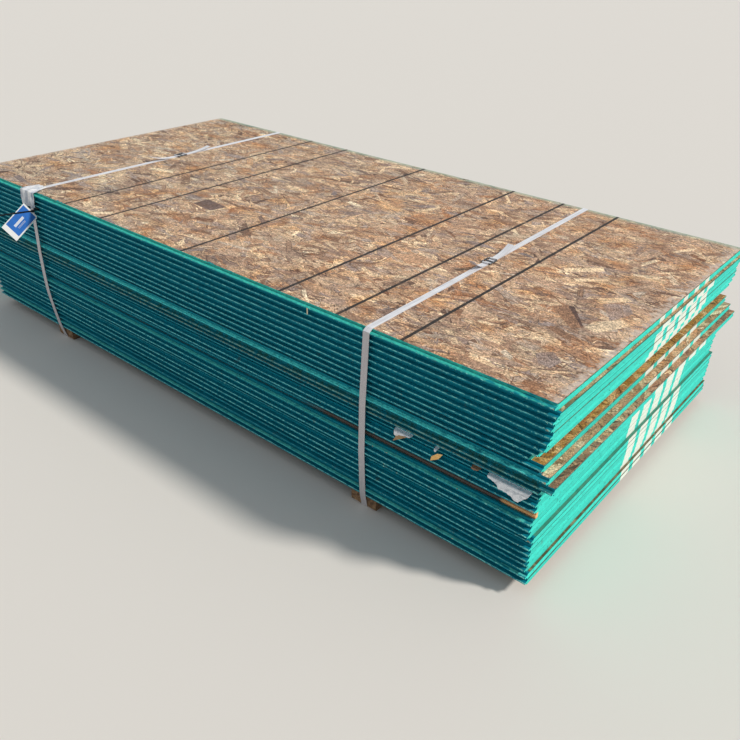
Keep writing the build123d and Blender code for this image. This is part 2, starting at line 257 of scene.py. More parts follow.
def pressed_strands(add, place):
    """Colour and height of pressed strands, in three crossing lays of long cells some 100 mm by 20 mm."""
    colour = None
    height = None
    for turn, shift, part in ((-24, 0.3, 1.0), (6, 7.1, 0.6), (27, 3.7, 0.45)):
        laid = add("Mapping", {
            "Vector": place, "Location": (shift, shift, 0), "Rotation": (0, 0, math.radians(turn)),
            "Scale": (10, 50, 50),
        })[0]
        cells = add("TexVoronoi", {"Vector": laid, "Scale": 1.0})
        split = add("SeparateColor", (cells["Color"],))
        tone = add("ValToRGB", (split[0],))
        set_stops(tone, STRAND_STOPS)
        chosen = add("Math", (split[1], part), operation="LESS_THAN")[0]
        if colour is None:
            colour, height = tone[0], split[2]
            continue
        colour = add("Mix", {0: chosen, 6: colour, 7: tone[0]}, data_type="RGBA")[2]
        height = add("Mix", {0: chosen, 2: height, 3: split[2]}, data_type="FLOAT")[0]
    # Fibres 1.4 mm apart
    fibres = drawn_noise(add, place, (30, 700, 700), 3.0)
    shade = add("MapRange", (fibres, 0.25, 0.75, 0.78, 1.15))[0]
    colour = add("VectorMath", {0: colour, "Scale": shade}, operation="SCALE")[0]
    return colour, height


def panel_material(layer, settings):
    """Pressed OSB, its edges sprayed with thick matt sealer that half fills the voids between strands. The
    long sides and the voids carry painted shade, and the tongues painted highlights.
    """
    low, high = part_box(f"panel_{layer:02d}")
    front_y = low.y + (BROKEN_TONGUE if layer == BROKEN_LAYER else TONGUE)
    material, add = new_material(f"OSB with sealed edges {layer:02d}")
    place = add("TexCoord")["Object"]
    x, y, z = add("SeparateXYZ", (place,))
    facing = add("NewGeometry")["Normal"]
    nx, _, nz = add("SeparateXYZ", (facing,))
    level = add("Math", (z, (low.z + high.z) / 2), operation="SUBTRACT")[0]
    off_level = add("Math", (level,), operation="ABSOLUTE")[0]

    # Edge-on strands: streaks 3 mm thick and 26 mm long, under a grit of sealer 2 mm by 5 mm. The real grit
    # is finer, and this is as coarse as it needs to show
    streaks = drawn_noise(add, place, (38, 38, 300), 5.0, Roughness=0.6, shift=(layer, 0, 0))
    grit = drawn_noise(add, place, (210, 210, 480), 4.0, Roughness=0.65, shift=(0, layer, 0))
    relief = add("Math", (grit, 0.7, streaks), operation="MULTIPLY_ADD")[0]

    # The long sides carry painted shade: the cut ends' sealer, painted darker and bluer as it looks in
    # shade. The ends differ a little from layer to layer. Dust lies in patches 17 mm wide
    on_end = add("Math", (nx,), operation="ABSOLUTE")[0]
    on_end = add("Math", (on_end, 0.6), operation="GREATER_THAN")[0]
    tint = 1 + 0.1 * math.sin(layer * 2.4)
    end_paint = tuple(tint * value for value in settings.end_paint)
    dust_noise = add("TexNoise", {"Vector": place, "Scale": 60.0, "Detail": 6.0, "Roughness": 0.75})[0]
    most = 0.8 if layer == DUSTY_LAYER else 0.0
    dust = add("MapRange", (dust_noise, 0.42, 0.6, 0.0, most))[0]
    dusty = hex_colour("2d5c48")
    shaded_side_paint = add("Mix", {0: dust, 6: (*settings.shaded_side_paint, 1), 7: dusty}, data_type="RGBA")[2]

    # The upper side of each tongue gets a painted highlight where it would catch the sky, broken into
    # patches 26 mm long and specks of 8 mm, and breaking up towards the +X end
    depth = add("Math", (y, low.y), operation="SUBTRACT")[0]
    lit_depth = LIT_DEPTH.get(layer, USUAL_LIT_DEPTH) * MM
    ragged = add("Math", (grit, 2.4 * MM, depth), operation="MULTIPLY_ADD")[0]
    near_nose = add("MapRange", (ragged, lit_depth + 1.8 * MM, lit_depth + 0.6 * MM))[0]
    upper = add("MapRange", (level, -0.4 * MM, 0.8 * MM))[0]
    lit = add("Math", (near_nose, upper), operation="MULTIPLY")[0]
    patches = drawn_noise(add, place, (38, 90, 300), 4.0, shift=(0, 0, layer))
    worn = add("MapRange", (x, high.x - 0.3, high.x, 0.3, 0.5))[0]
    kept = add("Math", (patches, worn), operation="SUBTRACT")[0]
    kept = add("MapRange", (kept, -0.03, 0.07, 0.1, 1.0))[0]
    speckled = drawn_noise(add, place, (120, 200, 300), 3.0, shift=(0, 0, layer))
    least = 0.5 if layer in LIT_TINTS else 0.12
    speckled = add("MapRange", (speckled, 0.38, 0.6, least, 1.0))[0]
    kept = add("Math", (kept, speckled), operation="MULTIPLY")[0]
    lit = add("Math", (lit, kept), operation="MULTIPLY")[0]
    # On the dusty and the chalky layer the painted highlight is tinted by dust and chalky sealer
    highlight_tints = {CHALKY_LAYER: "9fbfa9", DUSTY_LAYER: "98c8b8", **LIT_TINTS}
    highlight_paint = (*settings.highlight_paint, 1)
    if layer in highlight_tints:
        highlight_paint = hex_colour(highlight_tints[layer])
    shaded_side_paint = add("Mix", {0: lit, 6: shaded_side_paint, 7: highlight_paint}, data_type="RGBA")[2]
    paint = add("Mix", {0: on_end, 6: shaded_side_paint, 7: (*end_paint, 1)}, data_type="RGBA")[2]
    thin = add("MapRange", (relief, 0.6, 1.1, 0.78, 1.14))[0]
    paint = add("VectorMath", {0: paint, "Scale": thin}, operation="SCALE")[0]

    # Painted shade in voids that the sealer didn't fill, dark teal where the relief is lowest, and on the
    # cut ends in pores 11 mm by 5 mm where strands pulled out
    void_shade = add("MapRange", (relief, 0.64, 0.54, 0.0, 0.85))[0]
    pores = drawn_noise(add, place, (90, 90, 210), 3.0, shift=(0, 0, layer))
    pores = add("MapRange", (pores, 0.37, 0.31, 0.0, 0.75))[0]
    pores = add("Math", (pores, on_end), operation="MULTIPLY")[0]
    coats = [(void_shade, hex_colour("17403c")), (pores, hex_colour("1f6b5c"))]

    # Bars sprayed on the +X end
    start = STACK_MIDDLE.y + BAR_STARTS[layer - 1] * MM
    width = settings.bar_width if layer > 1 else 0.6 * settings.bar_width
    from_start = add("Math", (y, start), operation="SUBTRACT")[0]
    fuzz = add("Math", (grit, 3 * MM, from_start), operation="MULTIPLY_ADD")[0]
    phase = add("Math", (fuzz, BAR_PERIOD), operation="FLOORED_MODULO")[0]
    bar = within(add, phase, 1.5 * MM, width, 1.2 * MM)
    row = within(add, from_start, 0, BAR_COUNT * BAR_PERIOD, 1 * MM)
    faces_plus = add("Math", (nx, 0.6), operation="GREATER_THAN")[0]
    cover = add("MapRange", (relief, 0.6, 0.8, 0.4, 0.97))[0]
    for share in (row, faces_plus, cover):
        bar = add("Math", (bar, share), operation="MULTIPLY")[0]
    coats.append((bar, (*settings.bar_colour, 1)))

    # Shade in the joint above, on the ends, and grime in clouds 38 mm wide
    openness = OPEN_SEAMS.get(layer, USUAL_SEAM)
    seam = add("Math", (grit, 1.6 * MM, level), operation="MULTIPLY_ADD")[0]
    seam_low = HALF_THICKNESS + (0.6 - 2.2 * openness) * MM
    seam = add("MapRange", (seam, seam_low, seam_low + 0.7 * MM, 0.0, 0.9))[0]
    seam = add("Math", (seam, on_end), operation="MULTIPLY")[0]
    grime = add("TexNoise", {"Vector": place, "Scale": 26.0, "Detail": 6.0, "Roughness": 0.7})[0]
    grime = add("MapRange", (grime, 0.62, 0.72, 0.0, 0.45))[0]
    coats += [(seam, hex_colour("14433c")), (grime, hex_colour("6d6043"))]
    # Bare wood where the tongue broke off, grey but for its last 90 mm, which are fresh
    if layer == BROKEN_LAYER:
        torn = add("MapRange", (x, high.x - 95 * MM, high.x - 85 * MM))[0]
        fresh = add("Mix", {0: torn, 6: hex_colour("5f5550"), 7: hex_colour("e8b27a")}, data_type="RGBA")[2]
        fresh = add("VectorMath", {0: fresh, "Scale": thin}, operation="SCALE")[0]
        on_tongue = add("MapRange", (depth, 13 * MM, 12 * MM))[0]
        reach = add("MapRange", (x, high.x - BARE_LENGTH, high.x - BARE_LENGTH + 0.1))[0]
        on_tongue = add("Math", (on_tongue, reach), operation="MULTIPLY")[0]
        coats.append((on_tongue, fresh))
    for amount, coat in coats:
        paint = add("Mix", {0: amount, 6: paint, 7: coat}, data_type="RGBA")[2]

    # Raw faces above and below, with a mist of edge paint along their near rim
    strands, lay_height = pressed_strands(add, place)
    raw = add("Math", (off_level, HALF_THICKNESS - 0.4 * MM), operation="GREATER_THAN")[0]
    flat = add("Math", (nz,), operation="ABSOLUTE")[0]
    flat = add("Math", (flat, 0.8), operation="GREATER_THAN")[0]
    raw = add("Math", (raw, flat), operation="MULTIPLY")[0]
    inboard = add("Math", (y, front_y), operation="SUBTRACT")[0]
    inboard = add("Math", (grit, 14 * MM, inboard), operation="MULTIPLY_ADD")[0]
    bare = add("MapRange", (inboard, 13 * MM, 17 * MM))[0]
    raw = add("Math", (raw, bare), operation="MULTIPLY")[0]
    # All ledges but the clean ones are darkened towards a colour of their own
    if layer not in CLEAN_LEDGES:
        darker_tone, least_darkening = LEDGE_DARKENING.get(layer, USUAL_LEDGE_DARKENING)
        darkened = add("MapRange", (dust_noise, 0.35, 0.65, least_darkening, 0.95))[0]
        strands = add("Mix", {0: darkened, 6: strands, 7: hex_colour(darker_tone)}, data_type="RGBA")[2]
    colour = add("Mix", {0: raw, 6: paint, 7: strands}, data_type="RGBA")[2]

    height = add("Mix", {0: raw, 2: relief, 3: lay_height}, data_type="FLOAT")[0]
    finish_material(add, (height, 0.7, 1.2 * MM), Base_Color=colour, Roughness=0.7, Specular_IOR_Level=0.15)
    return material


def flake_mesh(name, regions, density, seed, tones=(0.0, 1.0), slivers=0.0, marked=()):
    """A mesh of thin flakes that lie on level strips, each with its own tone and grain along its length."""
    rng = random.Random(seed)
    verts, faces, grain, tone, across = [], [], [], [], []

    def add_flake(points, height, base_z, mine, turn, length, width):
        offset = (rng.uniform(0, 50), rng.uniform(0, 50))
        tilt = rng.uniform(-0.05, 0.05) * MM if height < LAY_TOP else 0.0
        start = len(verts)
        middle = (sum(x for x, y in points) / len(points), sum(y for x, y in points) / len(points))
        for px, py in points:
            u = (px - middle[0]) * math.cos(turn) + (py - middle[1]) * math.sin(turn)
            v = (py - middle[1]) * math.cos(turn) - (px - middle[0]) * math.sin(turn)
            side = v / (width / 2)
            lift = max(height, min(height + tilt * side, LAY_TOP))
            verts.append((px, py, base_z + lift))
            grain.append((u + offset[0], v + offset[1]))
            across.append((side, u / (length / 2)))
            tone.append((*mine, 1.0))
        faces.append(list(range(start, len(verts))))

    for x_low, x_high, y_low, y_high, z in regions:
        area = (x_high - x_low) * (y_high - y_low)
        count = int(density * area)
        extra = int(slivers * area)
        for i in range(count + extra):
            small = i >= count
            spans = SLIVER_SIZES if small else FLAKE_SIZES
            length, width = (rng.triangular(*span) * MM for span in spans)
            # Most lie along the panel, give or take 30 degrees, and the rest any way
            turn = math.radians(rng.gauss(4, 30) if rng.random() < 0.85 else rng.uniform(-90, 90))
            centre = (rng.uniform(x_low, x_high), rng.uniform(y_low, y_high))
            slant = rng.uniform(-0.5, 0.5)
            outline = []
            for end in (-1, 1):
                for side in ((-1, 1) if small else (-1, 0, 1)):
                    u = end * rng.uniform(0.84, 1.0) * length / 2 + side * slant * width * 0.6
                    outline.append((u, end * -side * width / 2 * rng.uniform(0.72, 1.0)))
                if not small:
                    shift = rng.uniform(-0.1, 0.1) * length
                    outline.append((shift, end * -width / 2 * rng.uniform(0.85, 1.1)))
            points = []
            for u, v in outline:
                px = centre[0] + u * math.cos(turn) - v * math.sin(turn)
                py = centre[1] + u * math.sin(turn) + v * math.cos(turn)
                points.append((min(max(px, x_low), x_high), min(max(py, y_low), y_high)))
            pick = rng.uniform(*tones)
            if small:
                pick = rng.choice((rng.uniform(0.7, 0.94), rng.uniform(0.0, 0.1), rng.uniform(*tones)))
            height = rng.uniform(0.12 if small else 0.04, 0.24) * MM
            add_flake(points, height, z, (pick, rng.random(), rng.random()), turn, length, width)
    for order, (kind, outline) in enumerate(marked):
        points = [(x * MM, y * MM) for x, y in outline]
        ends = max(((a, b) for a in points for b in points), key=lambda pair: math.dist(*pair))
        turn = math.atan2(ends[1][1] - ends[0][1], ends[1][0] - ends[0][0])
        lift = (MARKED_HEIGHT + MARKED_STEP * order) * MM
        add_flake(points, lift, TOP_HIGH.z, (*MARKED_TONES[kind], 0.0), turn, math.dist(*ends), 40 * MM)
    mesh = bpy.data.meshes.new(name)
    mesh.from_pydata(verts, [], faces)
    uv = mesh.uv_layers.new(name="grain")
    rim = mesh.uv_layers.new(name="across")
    tint = mesh.color_attributes.new("tone", "FLOAT_COLOR", "POINT")
    for loop in mesh.loops:
        uv.data[loop.index].uv = grain[loop.vertex_index]
        rim.data[loop.index].uv = across[loop.vertex_index]
    for i, value in enumerate(tone):
        tint.data[i].color = value
    mesh.update()
    return mesh


def flake_material(name, stops, weathered):
    """Pressed aspen strands: each its own tone with fine grain along it, greyed and stained by rain."""
    material, add = new_material(name)
    place = add("TexCoord")["Object"]
    x, y = add("SeparateXYZ", (place,))[:2]
    grain = add("UVMap", uv_map="grain")[0]
    across = add("UVMap", uv_map="across")[0]
    across = add("VectorMath", (across,), operation="ABSOLUTE")[0]
    side, end = add("SeparateXYZ", (across,))[:2]
    tone = add("Attribute", attribute_name="tone")["Color"]
    pick, hue, rim_shadow_share = add("SeparateColor", (tone,))
    base = add("ValToRGB", (pick,))
    set_stops(base, stops)
    colour = base[0]
    red = add("MapRange", (hue, 0.74, 1.0, 0.0, 0.52))[0]
    colour = add("Mix", {0: red, 6: colour, 7: hex_colour("b67e53")}, data_type="RGBA")[2]
    grey = add("MapRange", (hue, 0.28, 0.0, 0.0, 0.66 if weathered else 0.1))[0]
    colour = add("Mix", {0: grey, 6: colour, 7: hex_colour("958b8a")}, data_type="RGBA")[2]

    # Fibres 1.6 mm apart, specks 3 mm by 9 mm and dots of 4 mm. The real pores are finer than a pixel, and
    # these are as coarse as they need to show
    fibres = drawn_noise(add, grain, (26, 640, 1), 4.0, Roughness=0.6)
    specks = drawn_noise(add, grain, (110, 330, 1), 3.0, Roughness=0.7)
    mixed = add("Math", (specks, 1.3, fibres), operation="MULTIPLY_ADD")[0]
    shade = add("MapRange", (mixed, 0.8, 1.5, 0.42, 1.65))[0]
    dots = add("TexNoise", {"Vector": place, "Scale": 240.0, "Detail": 3.0, "Roughness": 0.75})[0]
    dots = add("MapRange", (dots, 0.34, 0.66, 0.38, 1.72))[0]
    shade = add("Math", (shade, dots), operation="MULTIPLY")[0]
    # Many flakes have a painted shadow round their rim, where they stand off from those beneath
    edge = add("MapRange", (side, 0.8, 0.88))[0]
    tip = add("MapRange", (end, 0.92, 0.96))[0]
    edge = add("Math", (edge, tip), operation="MAXIMUM")[0]
    rim_shadow = add("MapRange", (rim_shadow_share, 0.3, 0.7, 0.0, 0.6))[0]
    edge = add("Math", (edge, rim_shadow), operation="MULTIPLY")[0]
    edge = add("Math", (1.0, edge), operation="SUBTRACT")[0]
    shade = add("Math", (shade, edge), operation="MULTIPLY")[0]
    colour = add("VectorMath", {0: colour, "Scale": shade}, operation="SCALE")[0]
    if weathered:
        drift = add("TexNoise", {"Vector": place, "Scale": 8.0, "Detail": 6.0, "Roughness": 0.6})
        drift = add("SeparateColor", (drift["Color"],))
        # Weather has turned areas 125 mm wide cold or warm, and the whole colder towards the -X end
        for share, none, full, code in (
            (drift[0], 0.5, 0.66, "dcdfe6"), (drift[1], 0.5, 0.66, "f6dcc0"), (x, 0.5, -0.9, "f4fbff"),
        ):
            amount = add("MapRange", (share, none, full))[0]
            tinted = {0: amount, 6: colour, 7: hex_colour(code)}
            colour = add("Mix", tinted, data_type="RGBA", blend_type="MULTIPLY")[2]
        # Crumbs 12 mm by 7 mm, and stains 140 mm wide
        crumbs = drawn_noise(add, place, (80, 150, 150), 2.0, turn=(0, 0, -0.2))
        crumbs = add("MapRange", (crumbs, 0.36, 0.64, 0.78, 1.24))[0]
        colour = add("VectorMath", {0: colour, "Scale": crumbs}, operation="SCALE")[0]
        stain = add("TexNoise", {"Vector": place, "Scale": 7.0, "Detail": 5.0})[0]
        stain = add("MapRange", (stain, 0.35, 0.7, 0.95, 1.1))[0]
        colour = add("VectorMath", {0: colour, "Scale": stain}, operation="SCALE")[0]
        # All rims but the near one are rubbed pale, in patches 17 mm wide, and the far one has a mist of
        # edge paint over its last 35 mm
        inner_x = within(add, x, TOP_LOW.x + 24 * MM, TOP_HIGH.x - 28 * MM, 24 * MM)
        inner_y = within(add, y, FRONT_Y - 1, TOP_HIGH.y - 16 * MM, 16 * MM)
        worn = add("Math", (inner_x, inner_y), operation="MULTIPLY")[0]
        rubbed = add("TexNoise", {"Vector": place, "Scale": 60.0, "Detail": 5.0})[0]
        rubbed = add("Math", (rubbed, specks))[0]
        worn = add("Math", (rubbed, 2.2, worn), operation="MULTIPLY_ADD")[0]
        worn = add("MapRange", (worn, 2.1, 2.6, 0.75, 0.0))[0]
        mist = add("MapRange", (y, TOP_HIGH.y - 35 * MM, TOP_HIGH.y, 0.0, 0.7))[0]
        mist = add("Math", (mist, rubbed), operation="MULTIPLY", use_clamp=True)[0]
        for amount, code in ((worn, "dccfc2"), (mist, "8fb8a6"), (guide_ink(add, place), "1e1815")):
            colour = add("Mix", {0: amount, 6: colour, 7: hex_colour(code)}, data_type="RGBA")[2]
    finish_material(add, (mixed, 0.8, 0.8 * MM), Base_Color=colour, Roughness=0.75)
    return material


def place_piece(name, mesh, material):
    """Links a finished mesh as a piece that rides on the unit."""
    piece = bpy.data.objects.new(name, mesh)
    bpy.context.scene.collection.objects.link(piece)
    mesh.materials.append(material)
    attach(piece, "root")


def timber_material():
    """Rough sawn pine, grey brown and dusty, with growth lines along the timber and saw marks across it."""
    material, add = new_material("Rough sawn pine")
    place = add("TexCoord")["Object"]
    # Growth lines 8 mm apart, saw marks 2.5 mm apart
    grain = drawn_noise(add, place, (120, 5, 120), 5.0, Distortion=0.6)
    tone = add("ValToRGB", (grain,))
    set_stops(tone, ((0.25, "4a3524"), (0.45, "7d5f43"), (0.6, "9a7a58"), (0.8, "b89a76")))
    saw = drawn_noise(add, place, (20, 400, 20), 2.0)
    height = add("Math", (grain, saw))[0]
    finish_material(add, (height, 0.6, 0.8 * MM), Base_Color=tone[0], Roughness=0.8)
    return material


def strap_material():
    """Composite cord strapping: parallel polyester yarns in a satin coating, a little dusty, and painted
    greyer as shade on its hanging runs.
    """
    material, add = new_material("Coated polyester cord")
    place = add("TexCoord")["Object"]
    # Yarns 1.6 mm apart, as coarse as they need to show, where the real ones are under 1 mm, dust in patches
    # 33 mm wide, and painted shade in the same grey on the runs that hang down the sides
    yarns = add("Mapping", {"Vector": place, "Scale": (1, 0.012, 0.012)})[0]
    yarns = add("TexNoise", {"Vector": yarns, "Scale": 620.0, "Detail": 2.0})[0]
    dust = add("TexNoise", {"Vector": place, "Scale": 30.0, "Detail": 5.0})[0]
    dust = add("MapRange", (dust, 0.35, 0.75, 0.0, 0.35))[0]
    tone = add("ValToRGB", (yarns,))
    set_stops(tone, ((0.3, "c3c9d3"), (0.5, "e9eef6"), (0.7, "fafcff")))
    facing = add("NewGeometry")["Normal"]
    up = add("SeparateXYZ", (facing,))[2]
    hangs = add("MapRange", (up, 0.7, 0.4, 0.0, 0.75))[0]
    # Dust and the painted shade on the hanging runs share one grey
    dust = add("Math", (dust, hangs), operation="MAXIMUM")[0]
    colour = add("Mix", {0: dust, 6: tone[0], 7: hex_colour("bcb4b4")}, data_type="RGBA")[2]
    finish_material(add, (yarns, 0.5, 0.5 * MM), Base_Color=colour, Roughness=0.5)
    return material


def wire_material():
    """Phosphated steel wire: dark grey with a dull gleam and lighter rubbed spots."""
    material, add = new_material("Phosphated steel wire")
    place = add("TexCoord")["Object"]
    # Rubbed spots 5 mm long
    rubbed = add("TexNoise", {"Vector": place, "Scale": 180.0, "Detail": 3.0})[0]
    tone = add("ValToRGB", (rubbed,))
    set_stops(tone, ((0.35, "3f4144"), (0.6, "6d7074"), (0.8, "a3a6a8")))
    finish_material(add, (rubbed, 0.2, 0.2 * MM), Base_Color=tone[0], Metallic=1.0, Roughness=0.42)
    return material


def film_material():
    """Crumpled polyethylene sheet: milky white, with painted grey-blue shade in its folds, and a soft gloss.
    """
    material, add = new_material("Crumpled polyethylene film")
    place = add("TexCoord")["Object"]
    # Folds 13 mm apart, painted grey-blue as their shade, and wrinkles 6 mm apart in the relief, both
    # running over the edge
    fold_shade = drawn_noise(add, place, (75, 14, 14), 3.0, Distortion=0.8)
    tone = add("ValToRGB", (fold_shade,))
    set_stops(tone, ((0.34, "8fa0b6"), (0.46, "cfd5de"), (0.56, "eceff2"), (0.66, "fdfdfd")))
    fine = drawn_noise(add, place, (160, 24, 24), 2.0)
    finish_material(
        add, (fine, 0.4, 1.5 * MM), Base_Color=tone[0], Roughness=0.3,
        Subsurface_Weight=0.2, Subsurface_Radius=(1, 1, 1), Subsurface_Scale=3 * MM,
    )
    return material


# The tag's slant, and its printed field along it from and to and half its width across, in millimetres
TAG_SLANT = math.radians(34)
TAG_FIELD = (-37, 52)
TAG_HALF_FIELD = 32
# Plain rules printed on the tag: across it from and to, half length, and how white
TAG_RULES = ((-2, 8, 22, 0.8), (-10, -8.6, 17, 0.7), (-14, -12.8, 17, 0.7))


def tag_material(settings):
    """Printed polypropylene card: a blue field in a white border, with a plain white band at its end."""
    low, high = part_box("tag")
    material, add = new_material("Printed polypropylene card")
    place = add("TexCoord")["Object"]
    middle = (low + high) / 2
    centred = add("Mapping", {"Vector": place, "Location": tuple(-middle)})[0]
    y, z = add("SeparateXYZ", (centred,))[1:]
    long_y = add("Math", (y, math.cos(TAG_SLANT)), operation="MULTIPLY")[0]
    along = add("Math", (z, math.sin(TAG_SLANT), long_y), operation="MULTIPLY_ADD")[0]
    wide_y = add("Math", (y, -math.sin(TAG_SLANT)), operation="MULTIPLY")[0]
    across = add("Math", (z, math.cos(TAG_SLANT), wide_y), operation="MULTIPLY_ADD")[0]
    field = within(add, along, TAG_FIELD[0] * MM, TAG_FIELD[1] * MM, 0.3 * MM)
    sides = within(add, across, -TAG_HALF_FIELD * MM, TAG_HALF_FIELD * MM, 0.3 * MM)
    field = add("Math", (field, sides), operation="MULTIPLY")[0]
    for rule_low, rule_high, half, strength in TAG_RULES:
        rule = within(add, across, rule_low * MM, rule_high * MM, 0.2 * MM)
        run = within(add, along, -half * MM, half * MM, 0.3 * MM)
        rule = add("Math", (rule, run), operation="MULTIPLY")[0]
        rule = add("Math", (rule, strength), operation="MULTIPLY")[0]
        field = add("Math", (field, rule), operation="SUBTRACT", use_clamp=True)[0]
    # Ink uneven in patches 25 mm wide
    ink = add("TexNoise", {"Vector": place, "Scale": 40.0})[0]
    ink = add("MapRange", (ink, 0.3, 0.7, 0.9, 1.1))[0]
    blue = add("VectorMath", {0: settings.tag_blue, "Scale": ink}, operation="SCALE")[0]
    colour = add("Mix", {0: field, 6: hex_colour("eef0f2"), 7: blue}, data_type="RGBA")[2]
    finish_material(add, Base_Color=colour, Roughness=0.4)
    return material


def nylon_material():
    """Black moulded nylon with a faint sheen."""
    material, add = new_material("Moulded black nylon")
    place = add("TexCoord")["Object"]
    # Mould grain of 1.1 mm, as coarse as it needs to show
    fine = add("TexNoise", {"Vector": place, "Scale": 900.0, "Detail": 2.0})[0]
    tone = add("ValToRGB", (fine,))
    set_stops(tone, ((0.3, "0c0d10"), (0.7, "1b1c20")))
    finish_material(add, Base_Color=tone[0], Roughness=0.38)
    return material


# How far past its solid the torn paper's measures start, and how far from there its brown patch lies
PAPER_SHIFT = 22 * MM
KRAFT_PATCH = (184, 150)


def paper_material():
    """Coated wrapping paper, torn and creased: blue white, with painted shade along fine creases, and grey
    scuffs.
    """
    material, add = new_material("Torn coated paper")
    place = add("TexCoord")["Object"]
    # Painted shade along creases round facets of 26 mm, scuffs 6 mm by 25 mm, and one brown patch where the
    # backing shows
    bent = add("TexNoise", {"Vector": place, "Scale": 30.0, "Detail": 3.0})["Color"]
    bent = add("Mix", {0: 0.06, 4: place, 5: bent}, data_type="VECTOR")[1]
    facets = add("TexVoronoi", {"Vector": bent, "Scale": 38.0}, feature="DISTANCE_TO_EDGE")[0]
    crease_shade = add("MapRange", (facets, 0.0, 0.05, 0.45, 1.0))[0]
    darker_tone = drawn_noise(add, place, (40, 40, 170), 4.0, turn=(0, 0.5, 0))
    darker_tone = add("MapRange", (darker_tone, 0.5, 0.68, 0.0, 0.55))[0]
    colour = add("Mix", {0: crease_shade, 6: hex_colour("96a2ae"), 7: hex_colour("f8fbff")}, data_type="RGBA")[2]
    colour = add("Mix", {0: darker_tone, 6: colour, 7: hex_colour("97a2ac")}, data_type="RGBA")[2]
    x = add("SeparateXYZ", (place,))[0]
    end_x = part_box("torn_paper")[1].x + PAPER_SHIFT
    kraft = within(add, x, end_x - KRAFT_PATCH[0] * MM, end_x - KRAFT_PATCH[1] * MM, 2 * MM)
    colour = add("Mix", {0: kraft, 6: colour, 7: hex_colour("a37c5f")}, data_type="RGBA")[2]
    finish_material(add, (facets, 0.5, 1.5 * MM), Base_Color=colour, Roughness=0.7)
    return material


def splinter_material(name, stops):
    """A torn flake of fresh wood, with its grain down its length."""
    material, add = new_material(name)
    place = add("TexCoord")["Object"]
    # Fibres 1.1 mm apart
    fibres = drawn_noise(add, place, (60, 60, 900), 3.0, turn=(0, 0.7, 0))
    tone = add("ValToRGB", (fibres,))
    set_stops(tone, stops)
    finish_material(add, (fibres, 0.5, 0.4 * MM), Base_Color=tone[0], Roughness=0.7)
    return material


class EdgeFinishSettings(bpy.types.PropertyGroup):
    """Paint on the panels' edges."""

    # Painted shade: the sealer of the long sides, darker and bluer as it looks in shade
    shaded_side_paint: bpy.props.FloatVectorProperty(
        name="Long side paint, shaded",
        description="Colour of the sealer along the tongues and grooves",
        subtype="COLOR",
        default=hex_colour("008296")[:3],
    )
    # Painted highlight: the colour a tongue's upper side is painted where it would catch the light
    highlight_paint: bpy.props.FloatVectorProperty(
        name="Tongue highlight paint",
        description="Colour of the rough sealer where a tongue catches the light",
        subtype="COLOR",
        default=hex_colour("94f6ee")[:3],
    )
    end_paint: bpy.props.FloatVectorProperty(
        name="End paint",
        description="Colour of the sealer on the cut ends",
        subtype="COLOR",
        default=hex_colour("3dd9c9")[:3],
    )
    bar_colour: bpy.props.FloatVectorProperty(
        name="Bar colour",
        description="Colour of the bars sprayed on the end",
        subtype="COLOR",
        default=hex_colour("e4e9df")[:3],
    )
    bar_width: bpy.props.FloatProperty(
        name="Bar width",
        description="Width of each sprayed bar",
        default=57 * MM,
        unit="LENGTH",
    )


class FlakeSettings(bpy.types.PropertyGroup):
    """Flakes that show on the open faces."""

    density: bpy.props.FloatProperty(
        name="Flakes per square metre",
        description="How many flakes lie on each square metre of an open face",
        default=4200.0,
    )
    seed: bpy.props.IntProperty(name="Seed", description="Start of the random lay of the flakes", default=11)


class TrimSettings(bpy.types.PropertyGroup):
    """Tag and trim."""

    tag_blue: bpy.props.FloatVectorProperty(
        name="Tag field",
        description="Colour of the tag's printed field",
        subtype="COLOR",
        default=hex_colour("3470c4")[:3],
    )


class StageSettings(bpy.types.PropertyGroup):
    """Floor, light and camera."""

    key_strength: bpy.props.FloatProperty(
        name="Key light",
        description="Strength of the lamp at the +X end, in watts per square metre",
        default=2.95,
    )
    key_spread: bpy.props.FloatProperty(
        name="Key spread",
        description="How wide the key light is seen, in degrees; wider gives softer shadows",
        default=7.0,
    )
    ambient: bpy.props.FloatProperty(
        name="Ambient",
        description="Strength of the even light from all round",
        default=0.42,
    )


class FinishPanels(bpy.types.Operator):
    """Gives each panel its pressed strands and its painted edges"""

    bl_idname = "panel_stack.finish_panels"
    bl_label = "Finish the panels"

    def execute(self, context):
        for layer, name in enumerate(PANELS, 1):
            dress(name, panel_material(layer, context.scene.edge_finish))
        return {"FINISHED"}


def ledge_strip(layer):
    """The strip of a layer that the one above leaves open at the +X end, and its level."""
    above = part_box(f"panel_{layer - 1:02d}")[1]
    low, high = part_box(f"panel_{layer:02d}")
    return (above.x + 0.2 * MM, high.x - RIM, low.y + TONGUE + RIM, high.y - RIM, high.z)


# Each piece of ledge flakes: its layers, the name of its finish, its stops and the span of tones it takes
LEDGE_FLAKES = (
    ("clean_ledge_flakes", (10,), "Clean aspen strands", CLEAN_STOPS, (0.0, 1.0)),
    ("ledge_flakes", (2, 11), "Dusty aspen strands", DUSTY_STOPS, (0.25, 1.0)),
    ("darker_ledge_flakes", (12,), "Darker aspen strands", DARKER_LEDGE_STOPS, (0.0, 1.0)),
)


